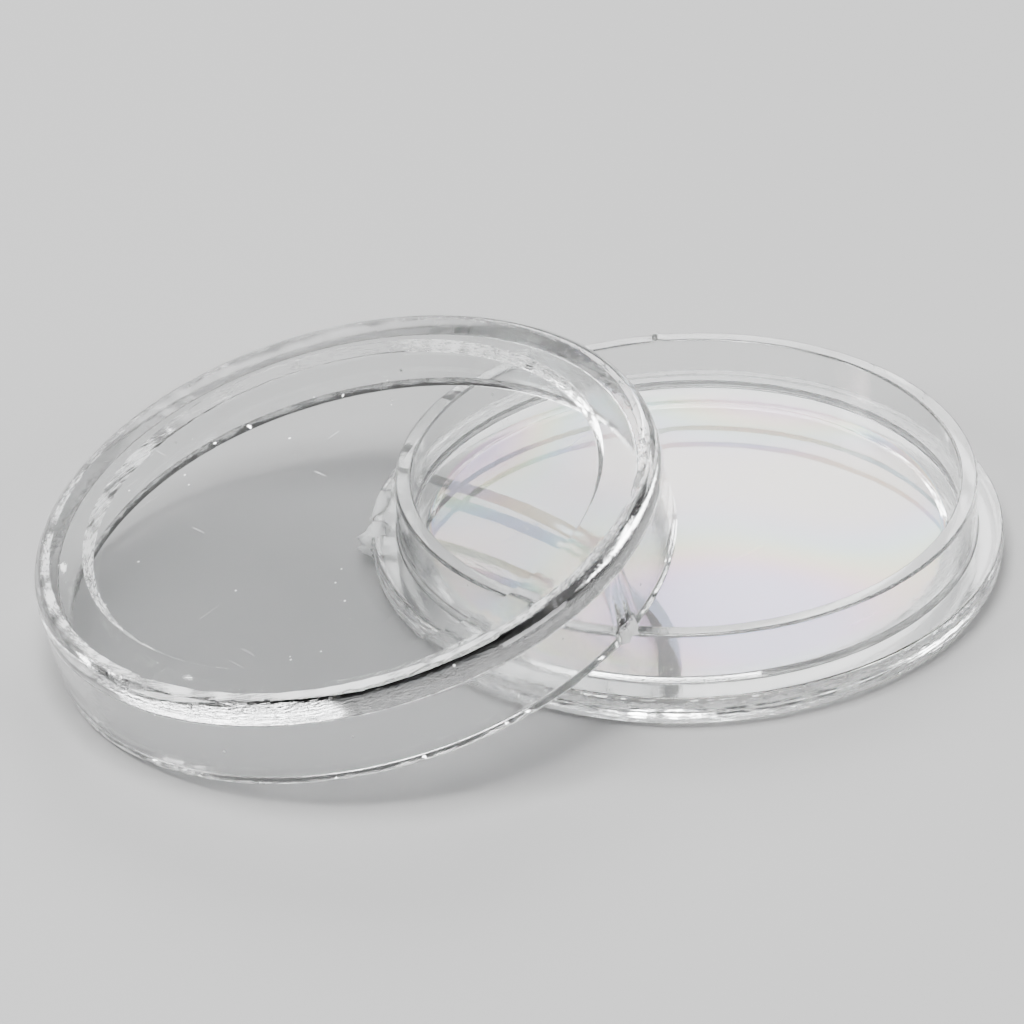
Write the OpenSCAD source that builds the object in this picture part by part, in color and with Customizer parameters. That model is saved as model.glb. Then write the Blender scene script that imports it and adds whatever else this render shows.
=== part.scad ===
// A two-piece round coin capsule in clear moulded plastic.
// The flanged base lies flat with its open side up. The lid leans over it: one point of the skirt stands
// on the table and the skirt's lower edge rests across the base's ring wall.
// +Z is up, and the surface that both pieces stand on is z = 0.

/* [Outside] */

// outside diameter of the base and of the lid
outer_d = 30; // [28:0.5:34]
// height of the lid, from the skirt's open edge to its top face
lid_h = 4.6; // [4.4:0.05:5.2]
// rounding of the lid's top outer edge
lid_round = 0.8; // [0.4:0.1:1.2]
// thickness of the base's flange
flange_h = 1.65; // [1.4:0.05:2]
// rounding of the flange's bottom outer edge
flange_round = 0.6; // [0.3:0.1:0.8]

/* [Ring wall and skirt] */

// inside diameter of the base's ring wall, which is the seat for the coin
seat_d = 26; // [24:0.1:26.2]
// thickness of the base's ring wall
wall_t = 0.8; // [0.6:0.05:0.8]
// height of the ring wall above the flange
wall_h = 2.65; // [2:0.05:2.7]
// gap between the ring wall and the lid's skirt all round
skirt_gap = 0.1; // [0.05:0.05:0.2]

/* [Windows] */

// diameter of the thinned window, at its bottom
window_d = 24.2; // [22:0.1:24.4]
// how far the window's outer face lies back from the face around it
window_recess = 0.45; // [0.3:0.05:0.6]
// how much wider the recess is at its mouth, on each side
window_flare = 0.35; // [0.1:0.05:0.4]
// thickness of the lid's top around the window
lid_top_t = 1.65; // [1.5:0.05:1.7]

/* [Where the lid lies] */

// tilt of the lid, in degrees
lid_tilt = 11.1; // [11.1:0.1:16]
// compass direction of the lid's low side, seen from the middle of the base
lid_low_dir = 202; // [198:0.5:203]
// where the low point of the lid stands, along X from the base's axis
lid_foot_x = -29.1; // [-30:0.1:-28]
// where the low point of the lid stands, along Y from the base's axis
lid_foot_y = -10.6; // [-12:0.1:-10]

/* [Colours] */

// brightness of the clear plastic
plastic_tone = 0.86; // [0.5:0.01:1]
// how opaque the clear plastic is drawn
plastic_alpha = 0.4; // [0.2:0.05:1]

/* [Hidden] */

$fn = 128;

outer_r = outer_d / 2;
seat_r = seat_d / 2;
wall_r = seat_r + wall_t;
skirt_r = wall_r + skirt_gap;
window_r = window_d / 2;
window_mouth_r = window_r + window_flare;
base_h = flange_h + wall_h;
hollow_h = lid_h - lid_top_t;
cut = 1;

// The lid's own axis, and the middle of the circle that its skirt's open edge makes.
lid_axis = [sin(lid_tilt) * cos(lid_low_dir), sin(lid_tilt) * sin(lid_low_dir), cos(lid_tilt)];
lid_middle_x = lid_foot_x - outer_r * cos(lid_tilt) * cos(lid_low_dir);
lid_middle_y = lid_foot_y - outer_r * cos(lid_tilt) * sin(lid_low_dir);

// How far the leaning lid reaches from that middle, towards a side where its axis leans by this much.
function lid_reach(lean) =
    (outer_r - lid_round) * sqrt(1 - lean * lean) + (lid_h - lid_round) * lean + lid_round;

// The origin is on the table, under the middle of the pair's outline. The lid makes the left and front
// ends of that outline, and the base the right and back ends.
left_end = lid_middle_x - lid_reach(-lid_axis[0]);
front_end = lid_middle_y - lid_reach(-lid_axis[1]);
base_x = -(left_end + outer_r) / 2;
base_y = -(front_end + outer_r) / 2;

// Half the outline of a disc, with its bottom outer edge rounded.
module rounded_disc_outline(height, round) {
    square([outer_r - round, height]);
    translate([0, round]) square([outer_r, height - round]);
    translate([outer_r - round, round]) circle(r = round);
}

// Half the outline of the shallow recess over a window, cut upwards from z = 0, with its sloped step.
module recess_outline() {
    translate([0, -cut]) square([window_mouth_r, cut]);
    polygon([[0, 0], [window_mouth_r, 0], [window_r, window_recess], [0, window_recess]]);
}

// A clear disc with a flange, a ring wall around the coin and a window thinned from below.
module base() {
    color([plastic_tone, plastic_tone, plastic_tone, plastic_alpha])
    translate([base_x, base_y, 0])
    rotate_extrude() difference() {
        union() {
            rounded_disc_outline(flange_h, flange_round);
            translate([seat_r, 0]) square([wall_t, base_h]);
        }
        recess_outline();
    }
}

// The lid standing upright on its skirt's open edge, around its own axis.
module upright_lid() {
    rotate_extrude() difference() {
        translate([0, lid_h]) mirror([0, 1]) rounded_disc_outline(lid_h, lid_round);
        translate([0, -cut]) square([skirt_r, hollow_h + cut]);
        translate([0, lid_h]) mirror([0, 1]) recess_outline();
    }
}

// The lid, tilted about the point of its skirt that stands on the table.
module lid() {
    color([plastic_tone, plastic_tone, plastic_tone, plastic_alpha])
    translate([base_x + lid_foot_x, base_y + lid_foot_y, 0])
    rotate([0, 0, lid_low_dir])
    rotate([0, lid_tilt, 0])
    translate([-outer_r, 0, 0])
    upright_lid();
}

base();
lid();
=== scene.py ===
"""Looks of a round two-piece coin capsule in clear moulded plastic.

A flanged base lies open side up, and a cap-shaped lid leans on it. Each moulding is turned from a rounded
section as one closed mesh, then worn a little by rule: gate stubs, chipped edges and frosted bands.
Lengths are in millimetres until a mesh, lamp or camera is made.
"""

import math

import bpy
import numpy as np
from mathutils import Matrix, Vector, noise


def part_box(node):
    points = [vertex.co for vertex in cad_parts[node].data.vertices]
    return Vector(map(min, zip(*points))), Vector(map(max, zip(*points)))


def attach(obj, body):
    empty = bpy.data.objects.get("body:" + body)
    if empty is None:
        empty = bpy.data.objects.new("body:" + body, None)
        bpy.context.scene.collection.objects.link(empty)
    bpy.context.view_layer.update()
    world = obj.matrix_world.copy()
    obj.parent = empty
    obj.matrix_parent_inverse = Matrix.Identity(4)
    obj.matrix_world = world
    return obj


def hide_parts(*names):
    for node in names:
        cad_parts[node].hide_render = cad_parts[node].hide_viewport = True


MM = 0.001

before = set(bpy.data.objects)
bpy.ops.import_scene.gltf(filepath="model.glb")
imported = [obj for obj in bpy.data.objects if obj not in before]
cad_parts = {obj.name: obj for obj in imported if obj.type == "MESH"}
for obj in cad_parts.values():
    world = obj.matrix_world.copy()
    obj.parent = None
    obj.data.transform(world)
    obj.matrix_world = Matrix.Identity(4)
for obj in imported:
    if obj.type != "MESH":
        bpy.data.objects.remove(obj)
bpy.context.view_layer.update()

# ---------------------------------------------------------------- sizes, in millimetres

OUTER_R = 15.0
LID_H = 4.6
LID_ROUND = 0.8
LID_TOP_T = 1.65
FLANGE_H = 1.65
FLANGE_ROUND = 0.6
SEAT_R = 13.0
WALL_R = 13.8
BASE_H = 4.3
SKIRT_R = 13.9
WINDOW_R = 12.1
WINDOW_MOUTH_R = 12.45
WINDOW_RECESS = 0.45

# How the lid lies: its tilt, the direction of its low side, and where that side stands, measured from the
# base's axis.
LID_TILT = math.radians(11.1)
LID_LOW_DIR = math.radians(202)
LID_FOOT = (-29.1, -10.6)

# Where the wear is. Directions are in degrees round each upright moulding, seen from above.
PARTING_Z = 0.95  # the mould's parting line, on the flange's edge
SMEAR_R = 13.4  # the ring of the lid's top that has smears
FLANGE_GATE_DIR = 180
FLASH_DIR = 171
RIM_BUMP_DIR = 93
SKIRT_GATE_DIR = -35.5
CHIPPED_DIR = 205

# Facets, and the extra rings that let the wear change within a face.
TURNS = 720  # facets round each moulding
ARC_STEPS = 8  # facets in each rounded corner
GUARD = 0.02  # distance of the extra ring that keeps a flat face flat beside a rounded corner
FLANGE_RINGS = (0.75, 0.87, PARTING_Z, 1.03, 1.15, 1.35)  # heights on the flange's edge
SKIRT_RINGS = (0.25, 0.45, 0.7, 1.0)  # heights near the skirt's open edge
LID_FLAT_R = OUTER_R - LID_ROUND  # where the flat of the lid's top ends
# Radii on that flat.
TOP_RINGS = (LID_FLAT_R - 0.1, LID_FLAT_R - 0.2, SMEAR_R + 0.35, SMEAR_R, SMEAR_R - 0.35)

base_low, base_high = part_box("base")
BASE_AXIS = Vector(((base_low.x + base_high.x) / 2, (base_low.y + base_high.y) / 2, 0))


# ---------------------------------------------------------------- outlines


def rounded_outline(corners):
    """Half a section as (r, z) points. Each corner is (r, z, rounding), and 0 leaves it sharp."""
    points = []
    for i, (r, z, rounding) in enumerate(corners):
        here = Vector((r, z))
        if rounding == 0:
            points.append(here)
            continue
        before = (Vector(corners[i - 1][:2]) - here).normalized()
        after = (Vector(corners[(i + 1) % len(corners)][:2]) - here).normalized()
        half = before.angle(after) / 2
        reach = rounding / math.tan(half)
        middle = here + (before + after).normalized() * (rounding / math.sin(half))
        first = (here + before * reach - middle).normalized()
        last = (here + after * reach - middle).normalized()
        points.append(here + before * (reach + GUARD))
        for k in range(ARC_STEPS + 1):
            points.append(middle + first.slerp(last, k / ARC_STEPS) * rounding)
        points.append(here + after * (reach + GUARD))
    return points


def base_outline():
    """The base's section, from the middle of its underside outwards and back along its floor."""
    return rounded_outline([
        (0, WINDOW_RECESS, 0),
        (WINDOW_R, WINDOW_RECESS, 0.06),
        (WINDOW_MOUTH_R, 0, 0.05),
        (OUTER_R, 0, FLANGE_ROUND),
        *[(OUTER_R, z, 0) for z in FLANGE_RINGS],
        (OUTER_R, FLANGE_H, 0.1),
        (WALL_R, FLANGE_H, 0.1),
        (WALL_R, BASE_H, 0.14),
        (SEAT_R, BASE_H, 0.14),
        (SEAT_R, FLANGE_H, 0.12),
        (0, FLANGE_H, 0),
    ])


def lid_outline():
    """The upright lid's section, from the middle of its hollow, round the skirt and back over its top."""
    return rounded_outline([
        (0, LID_H - LID_TOP_T, 0),
        (SKIRT_R, LID_H - LID_TOP_T, 0.12),
        (SKIRT_R, 0, 0.1),
        (OUTER_R, 0, 0.1),
        *[(OUTER_R, z, 0) for z in SKIRT_RINGS],
        (OUTER_R, LID_H, LID_ROUND),
        *[(r, LID_H, 0) for r in TOP_RINGS],
        (WINDOW_MOUTH_R, LID_H, 0.05),
        (WINDOW_R, LID_H - WINDOW_RECESS, 0.06),
        (0, LID_H - WINDOW_RECESS, 0),
    ])


# ---------------------------------------------------------------- wear


def hump(x, middle, half_width):
    """1 at the middle, falling smoothly to 0 half_width away from it."""
    t = (x - middle) / half_width
    return (1 - t * t) ** 2 if abs(t) < 1 else 0.0


def arc_hump(angle, degrees, half_degrees):
    """The same, round the axis. The angle is in radians, and the middle and half width in degrees."""
    off = (math.degrees(angle) - degrees + 180) % 360 - 180
    return hump(off, 0, half_degrees)


def rubble(r, angle, z, grain):
    """Smooth noise from -1 to 1 over the surface, with features about grain millimetres wide."""
    return noise.noise(Vector((r * math.cos(angle), r * math.sin(angle), z)) / grain)


# Each effect below takes a point of the upright moulding and gives how far it goes outwards, how far it
# goes up, and how frosted it is, from 0 to 1.

UNTOUCHED = (0.0, 0.0, 0.0)


def rough_flange(r, angle, z):
    """Two rough bands round the flange's edge, and the mould's parting line between them."""
    if r < OUTER_R - 0.5 or z > FLANGE_H - 0.01:
        return UNTOUCHED
    out = 0.03 * hump(z, PARTING_Z, 0.12)
    if z < FLANGE_H - 0.12:
        out += 0.012 * rubble(r, angle, z, 0.3)
    roughness = 0.6 + 0.3 * max(arc_hump(angle, 233, 18), arc_hump(angle, 75, 60))
    return out, 0.0, roughness * (hump(z, 0.38, 0.4) + hump(z, 1.2, 0.32))


def flange_gate(r, angle, z):
    """The torn stub where the base's plastic came in, and the flash beside it."""
    if r < OUTER_R - 0.3 or not 0.3 < z < FLANGE_H:
        return UNTOUCHED
    stub = arc_hump(angle, FLANGE_GATE_DIR, 3.4)
    flash = 0.3 * arc_hump(angle, FLASH_DIR, 8)
    jag = 0.7 + 0.9 * rubble(r, angle, z, 0.22)
    out = 0.7 * max(min(stub * 1.6, 1), flash) * jag * hump(z, PARTING_Z, 0.9)
    return out, 0.0, min(4 * max(stub, flash), 1)


def rough_rim(r, angle, z):
    """The ring wall's slightly rough rim, and the small bump on it."""
    up = 0.1 * arc_hump(angle, RIM_BUMP_DIR, 1.4) if z > BASE_H - 0.2 else 0.0
    on_top = r > SEAT_R + 0.01 and z > BASE_H - 0.05
    return 0.0, up, 0.15 if on_top else 0.0


def base_step(r, angle, z):
    """The sloped step of the window under the base."""
    on_step = WINDOW_R - 0.04 < r < WINDOW_MOUTH_R + 0.03 and z < WINDOW_RECESS + 0.01
    return 0.0, 0.0, 0.3 if on_step else 0.0


def lid_step(r, angle, z):
    """The sloped step of the window in the lid, rougher at its left and at its back right."""
    if not WINDOW_R - 0.04 < r < WINDOW_MOUTH_R + 0.03 or z < LID_H - WINDOW_RECESS - 0.01:
        return UNTOUCHED
    return 0.0, 0.0, 0.25 + 0.25 * max(arc_hump(angle, 180, 80), arc_hump(angle, 50, 60))


def smeared_top(r, angle, z):
    """Two smears on the lid's flat ring."""
    if abs(r - SMEAR_R) > 0.01 or z < LID_H - 0.01:
        return UNTOUCHED
    return 0.0, 0.0, 0.75 * arc_hump(angle, 184, 4) + 0.55 * arc_hump(angle, 237, 3)


def crackled_rounding(r, angle, z):
    """The grooved rounding of the lid's top edge, crackled along its inner side."""
    if r < LID_FLAT_R - 0.15 or z < LID_H - LID_ROUND:
        return UNTOUCHED
    strength = 0.3 + 0.3 * arc_hump(angle, -90, 100) + 0.2 * arc_hump(angle, 180, 60)
    frost = strength * hump(z, LID_H, 0.16)
    groove = 0.02 * (hump(z, LID_H - 0.2, 0.12) + hump(z, LID_H - 0.5, 0.15))
    return -groove, -groove - 0.03 * frost * (0.5 + rubble(r, angle, z, 0.3)), frost


def chipped_skirt(r, angle, z):
    """The skirt's frosted lower edge, chipped and frosted most at its near left."""
    if r < OUTER_R - 0.2 or z > 0.11:
        return UNTOUCHED
    chip = max(0.0, rubble(OUTER_R, angle, 0, 0.7) - 0.25)
    chip += 1.5 * arc_hump(angle, CHIPPED_DIR, 10) * max(0.0, rubble(OUTER_R, angle, 0, 0.3))
    frost = 0.5 + 0.35 * arc_hump(angle, 212, 30)
    return -0.12 * chip, 0.3 * chip if z < 0.05 else 0.0, frost


def skirt_gate(r, angle, z):
    """The torn blob where the lid's plastic came in."""
    if r < OUTER_R - 0.2 or z > 1.2:
        return UNTOUCHED
    blob = arc_hump(angle, SKIRT_GATE_DIR, 3.4)
    jag = 0.8 + 0.8 * rubble(r, angle, z, 0.22)
    out = 0.4 * min(blob * 1.5, 1) * jag * hump(z, 0.3, 0.9)
    return out, 0.0, min(blob * 3, 1) * hump(z, 0.2, 1.1)


BASE_WEAR = (rough_flange, flange_gate, rough_rim, base_step)
LID_WEAR = (lid_step, smeared_top, crackled_rounding, chipped_skirt, skirt_gate)


# ---------------------------------------------------------------- meshes


def worn(r, angle, z, wear):
    """Where a point of the moulding is after the wear, and how frosted it is."""
    effects = [effect(r, angle, z) for effect in wear]
    r += sum(out for out, up, frosted in effects)
    z += sum(up for out, up, frosted in effects)
    return (r * math.cos(angle), r * math.sin(angle), z), max(frosted for out, up, frosted in effects)


def lathe_faces(ring_count):
    """The faces between neighbouring rings, and the fans that join the first and last ring to the poles."""
    pole = ring_count * TURNS
    last = pole - TURNS
    faces = []
    for k in range(TURNS):
        after = (k + 1) % TURNS
        for start in range(0, last, TURNS):
            faces.append((start + k, start + after, start + TURNS + after, start + TURNS + k))
        faces.append((pole, after, k))
        faces.append((pole + 1, last + k, last + after))
    return faces


def lathe(name, outline, wear, place):
    """A closed mesh of the outline turned round Z, worn by rule and put in its place.

    It keeps, for its material, each point's place in the upright moulding and how frosted it is.
    """
    rings = [p for p in outline if p.x > 1e-6]
    poles = [p for p in outline if p.x <= 1e-6]
    points = []
    frost = []
    for ring in rings:
        for k in range(TURNS):
            point, frosted = worn(ring.x, 2 * math.pi * k / TURNS, ring.y, wear)
            points.append(point)
            frost.append(frosted)
    points += [(0, 0, p.y) for p in poles]
    frost += [0.0] * len(poles)
    faces = lathe_faces(len(rings))
    mesh = bpy.data.meshes.new(name)
    mesh.from_pydata([place @ (Vector(p) * MM) for p in points], [], faces)
    mesh.attributes.new("place", "FLOAT_VECTOR", "POINT").data.foreach_set("vector", np.ravel(points))
    mesh.attributes.new("frost", "FLOAT", "POINT").data.foreach_set("value", frost)
    mesh.polygons.foreach_set("use_smooth", [True] * len(faces))
    mesh.update()
    piece = bpy.data.objects.new(name, mesh)
    bpy.context.scene.collection.objects.link(piece)
    return piece


def lid_place():
    """Where the lid lies, as a matrix from its upright frame, in metres."""
    foot = BASE_AXIS + Vector((LID_FOOT[0], LID_FOOT[1], 0)) * MM
    return (
        Matrix.Translation(foot)
        @ Matrix.Rotation(LID_LOW_DIR, 4, "Z")
        @ Matrix.Rotation(LID_TILT, 4, "Y")
        @ Matrix.Translation((-OUTER_R * MM, 0, 0))
        @ Matrix.Rotation(-LID_LOW_DIR, 4, "Z")
    )


# ---------------------------------------------------------------- materials

PLASTIC_COLOUR = (0.975, 0.98, 0.98, 1)
PLASTIC_IOR = 1.57
FILM_NANOMETRES = (280.0, 560.0)  # least and most thickness of the film that gives the faint rainbow
FILM_IOR = 1.48
FLOOR_COLOUR = (0.38, 0.38, 0.38, 1)
FLOOR_ROUGHNESS = 0.8


def add(tree, kind, sockets, **settings):
    """A shader node. A socket's value is a number, a colour, or the output that feeds it."""
    made = tree.nodes.new(kind)
    for name, value in settings.items():
        setattr(made, name, value)
    for name, value in sockets.items():
        if isinstance(value, bpy.types.NodeSocket):
            tree.links.new(value, made.inputs[name])
        else:
            made.inputs[name].default_value = value
    return made


def calc(tree, operation, *values):
    """The result of a Math node."""
    return add(tree, "ShaderNodeMath", dict(enumerate(values)), operation=operation).outputs[0]


def ramp(tree, value, start, end, low=0.0, high=1.0):
    """value from start to end, carried over smoothly to low to high."""
    sockets = {"Value": value, "From Min": start, "From Max": end, "To Min": low, "To Max": high}
    return add(tree, "ShaderNodeMapRange", sockets, interpolation_type="SMOOTHSTEP").outputs["Result"]


def noise_of(tree, where, scale, detail=1.0, roughness=0.6):
    """Noise from 0 to 1, with scale features to the unit."""
    sockets = {"Vector": where, "Scale": scale, "Detail": detail, "Roughness": roughness}
    return add(tree, "ShaderNodeTexNoise", sockets).outputs["Fac"]


def place_in_moulding(tree):
    """The point's place in the upright moulding, in millimetres."""
    return add(tree, "ShaderNodeAttribute", {}, attribute_name="place").outputs["Vector"]


def radius_of(tree, place):
    """The distance from the moulding's axis."""
    flat = add(tree, "ShaderNodeVectorMath", {0: place, 1: (1, 1, 0)}, operation="MULTIPLY").outputs[0]
    return add(tree, "ShaderNodeVectorMath", {0: flat}, operation="LENGTH").outputs["Value"]


def along_rings(tree, place, radius, fineness):
    """A vector that changes fineness times faster across the turned surface than along it."""
    height = add(tree, "ShaderNodeSeparateXYZ", {"Vector": place}).outputs["Z"]
    across = add(tree, "ShaderNodeCombineXYZ", {"X": radius, "Y": height}).outputs[0]
    sockets = {0: across, 1: (fineness, fineness, fineness), 2: place}
    return add(tree, "ShaderNodeVectorMath", sockets, operation="MULTIPLY_ADD").outputs[0]


def frosted_cover(tree, place, frost, crackle):
    """1 where the plastic is torn or frosted, 0 where it is clear, broken up as such an edge is."""
    patches = calc(tree, "MULTIPLY", noise_of(tree, place, 0.8), 0.6)
    broken = calc(tree, "SUBTRACT", calc(tree, "ADD", crackle, patches), 0.8)
    reached = calc(tree, "ADD", frost, broken)
    return calc(tree, "MULTIPLY", ramp(tree, reached, 0.35, 0.6), ramp(tree, frost, 0.0, 0.15))


def specks(tree, place):
    """1 on the few grains of dust that lie on the plastic."""
    cells = add(tree, "ShaderNodeTexVoronoi", {"Vector": place, "Scale": 0.8})
    picked = add(tree, "ShaderNodeSeparateColor", {"Color": cells.outputs["Color"]}).outputs["Red"]
    small = calc(tree, "LESS_THAN", cells.outputs["Distance"], calc(tree, "MULTIPLY", picked, 0.06))
    return calc(tree, "MULTIPLY", small, calc(tree, "GREATER_THAN", picked, 0.6))


def hairlines(tree, place, turn):
    """1 on thin straight scratches that run one way, turned by an angle about the axis."""
    sockets = {"Vector": place, "Rotation": (0, 0, turn), "Scale": (8.0, 0.2, 0.2)}
    stretched = add(tree, "ShaderNodeMapping", sockets, vector_type="TEXTURE").outputs[0]
    return calc(tree, "GREATER_THAN", noise_of(tree, stretched, 1.0, 0.0), 0.82)


def scratches(tree, place):
    """1 on a few scratches: some places have them one way, some the other, and most have none."""
    rubbed = noise_of(tree, place, 0.3, 0.0)
    one = calc(tree, "MULTIPLY", hairlines(tree, place, 0.7), calc(tree, "GREATER_THAN", rubbed, 0.62))
    other = calc(tree, "MULTIPLY", hairlines(tree, place, 2.3), calc(tree, "LESS_THAN", rubbed, 0.36))
    return calc(tree, "ADD", one, other)


def whitened(tree, place, radius, frost, cover):
    """From 0 to 1, how white and opaque it is: at torn edges, in the windows' scratches and on dust."""
    torn = calc(tree, "MULTIPLY", cover, ramp(tree, frost, 0.6, 1.0, 0.7, 0.97))
    in_window = ramp(tree, radius, WINDOW_R - 0.2, WINDOW_R, 0.35, 0.0)
    scratched = calc(tree, "MULTIPLY", scratches(tree, place), in_window)
    return calc(tree, "MAXIMUM", torn, calc(tree, "MAXIMUM", specks(tree, place), scratched))


def surface_height(tree, place, radius, crackle, cover, rings):
    """The height of the fine relief, in millimetres: crackled edges, turned rings and slow waves."""
    crackled = calc(tree, "MULTIPLY", calc(tree, "MULTIPLY", crackle, cover), 0.06)
    beside_window = ramp(tree, radius, 12.3, 13.0, 0.0, 0.0016)
    turned = calc(tree, "MULTIPLY", noise_of(tree, rings, 4.5, 1.0), beside_window)
    waves = calc(tree, "MULTIPLY", noise_of(tree, place, 0.12, 0.0), 0.02)
    return calc(tree, "ADD", calc(tree, "ADD", crackled, turned), waves)


def clear_plastic(name):
    """Clear moulded polystyrene: a hazed, slightly wavy gloss with torn edges, scratches and dust."""
    mat = bpy.data.materials.new(name)
    mat.use_nodes = True
    tree = mat.node_tree
    shader = tree.nodes["Principled BSDF"]
    place = place_in_moulding(tree)
    radius = radius_of(tree, place)
    rings = along_rings(tree, place, radius, 5.0)
    crackle = noise_of(tree, rings, 2.4, 4.0, 0.75)
    frost = add(tree, "ShaderNodeAttribute", {}, attribute_name="frost").outputs["Fac"]
    cover = frosted_cover(tree, place, frost, crackle)
    white = whitened(tree, place, radius, frost, cover)
    haze = ramp(tree, noise_of(tree, place, 0.22, 3.0), 0.45, 0.75, 0.0, 0.03)
    roughness = calc(tree, "ADD", haze, calc(tree, "MULTIPLY", white, 0.6))
    height = surface_height(tree, place, radius, crackle, cover, rings)
    bump = add(tree, "ShaderNodeBump", {"Height": height, "Distance": MM, "Strength": 1.0})
    tree.links.new(bump.outputs["Normal"], shader.inputs["Normal"])
    tree.links.new(roughness, shader.inputs["Roughness"])
    tree.links.new(calc(tree, "SUBTRACT", 1.0, white), shader.inputs["Transmission Weight"])
    shader.inputs["Base Color"].default_value = PLASTIC_COLOUR
    shader.inputs["IOR"].default_value = PLASTIC_IOR
    return mat


def tint_window(mat):
    """A faint rainbow in the window's gloss, which changes slowly over it."""
    tree = mat.node_tree
    shader = tree.nodes["Principled BSDF"]
    place = place_in_moulding(tree)
    nanometres = ramp(tree, noise_of(tree, place, 0.07, 0.0), 0.3, 0.7, *FILM_NANOMETRES)
    inside = ramp(tree, radius_of(tree, place), WINDOW_R, WINDOW_MOUTH_R, 1.0, 0.0)
    tree.links.new(calc(tree, "MULTIPLY", nanometres, inside), shader.inputs["Thin Film Thickness"])
    shader.inputs["Thin Film IOR"].default_value = FILM_IOR


def floor_material():
    """A matt pale board."""
    mat = bpy.data.materials.new("pale_floor")
    mat.use_nodes = True
    shader = mat.node_tree.nodes["Principled BSDF"]
    shader.inputs["Base Color"].default_value = FLOOR_COLOUR
    shader.inputs["Roughness"].default_value = FLOOR_ROUGHNESS
    return mat


# ---------------------------------------------------------------- the object


def make_moulding(node, outline, wear, place):
    """One moulding, standing for its CAD node."""
    piece = lathe(node + "_moulding", outline, wear, place)
    piece.data.materials.append(clear_plastic("clear_plastic_" + node))
    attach(piece, node)
    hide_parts(node)
    return piece


# ---------------------------------------------------------------- stage, lights and camera

FLOOR_HALF = 1.5  # metres
FLOOR_DROP = 0.02  # the gap under the base's flat ring
VIEW_ELEVATION = math.radians(31.743)
VIEW_ROLL = math.radians(-2.982)
VIEW_DISTANCE = 270.0
VIEW_ASIDE = (8.52, -1.99)  # how far the base's axis lies right of and above the middle of the view
LENS = 197.7
WORLD_GREY = (0.5, 0.5, 0.5, 1)
WORLD_STRENGTH = 0.22
LIGHT_BOUNCES = 20  # enough for light to get through both clear mouldings
VIEW_LOOK = "AgX - Medium High Contrast"


def make_floor():
    """The plain pale floor, which isn't part of the object."""
    z = -FLOOR_DROP * MM
    corners = [(x * FLOOR_HALF, y * FLOOR_HALF, z) for x, y in ((-1, -1), (1, -1), (1, 1), (-1, 1))]
    mesh = bpy.data.meshes.new("floor")
    mesh.from_pydata(corners, [], [(0, 1, 2, 3)])
    mesh.materials.append(floor_material())
    floor = bpy.data.objects.new("floor", mesh)
    bpy.context.scene.collection.objects.link(floor)


def soft_light(name, place, width, height, watts):
    """A softbox that faces the object, in metres and watts."""
    data = bpy.data.lights.new(name, "AREA")
    data.shape = "RECTANGLE"
    data.size = width
    data.size_y = height
    data.energy = watts
    light = bpy.data.objects.new(name, data)
    light.location = place
    light.rotation_euler = (-Vector(place)).to_track_quat("-Z", "Y").to_euler()
    bpy.context.scene.collection.objects.link(light)


def make_lights():
    """Four softboxes and an even grey surround."""
    soft_light("back_softbox", (0.12, 0.55, 0.34), 0.4, 0.28, 2.6)
    soft_light("top_softbox", (-0.1, -0.05, 0.6), 0.35, 0.35, 6)
    soft_light("left_softbox", (-0.6, -0.1, 0.3), 0.15, 0.4, 3)
    soft_light("right_softbox", (0.5, -0.35, 0.3), 0.3, 0.3, 2)
    world = bpy.data.worlds.new("studio")
    world.use_nodes = True
    background = world.node_tree.nodes["Background"]
    background.inputs["Color"].default_value = WORLD_GREY
    background.inputs["Strength"].default_value = WORLD_STRENGTH
    bpy.context.scene.world = world


def make_camera():
    """The camera, which looks along +Y and down, at the photograph's viewing angle."""
    forward = Vector((0, math.cos(VIEW_ELEVATION), -math.sin(VIEW_ELEVATION)))
    level_up = Vector((0, math.sin(VIEW_ELEVATION), math.cos(VIEW_ELEVATION)))
    level_right = Vector((1, 0, 0))
    right = level_right * math.cos(VIEW_ROLL) + level_up * math.sin(VIEW_ROLL)
    up = level_up * math.cos(VIEW_ROLL) - level_right * math.sin(VIEW_ROLL)
    place = BASE_AXIS - (forward * VIEW_DISTANCE + right * VIEW_ASIDE[0] + up * VIEW_ASIDE[1]) * MM
    data = bpy.data.cameras.new("camera")
    data.lens = LENS
    data.clip_start = 0.01
    data.clip_end = 10
    camera = bpy.data.objects.new("camera", data)
    camera.matrix_world = Matrix.Translation(place) @ Matrix((right, up, -forward)).transposed().to_4x4()
    bpy.context.scene.collection.objects.link(camera)
    bpy.context.scene.camera = camera


def set_light_paths():
    """How far light is followed, and how the picture's tones are laid out."""
    cycles = bpy.context.scene.cycles
    cycles.max_bounces = LIGHT_BOUNCES
    cycles.glossy_bounces = LIGHT_BOUNCES
    cycles.transmission_bounces = LIGHT_BOUNCES
    bpy.context.scene.view_settings.look = VIEW_LOOK


make_camera()
base = make_moulding("base", base_outline(), BASE_WEAR, Matrix.Translation(BASE_AXIS))
tint_window(base.active_material)
make_moulding("lid", lid_outline(), LID_WEAR, lid_place())
make_floor()
make_lights()
set_light_paths()
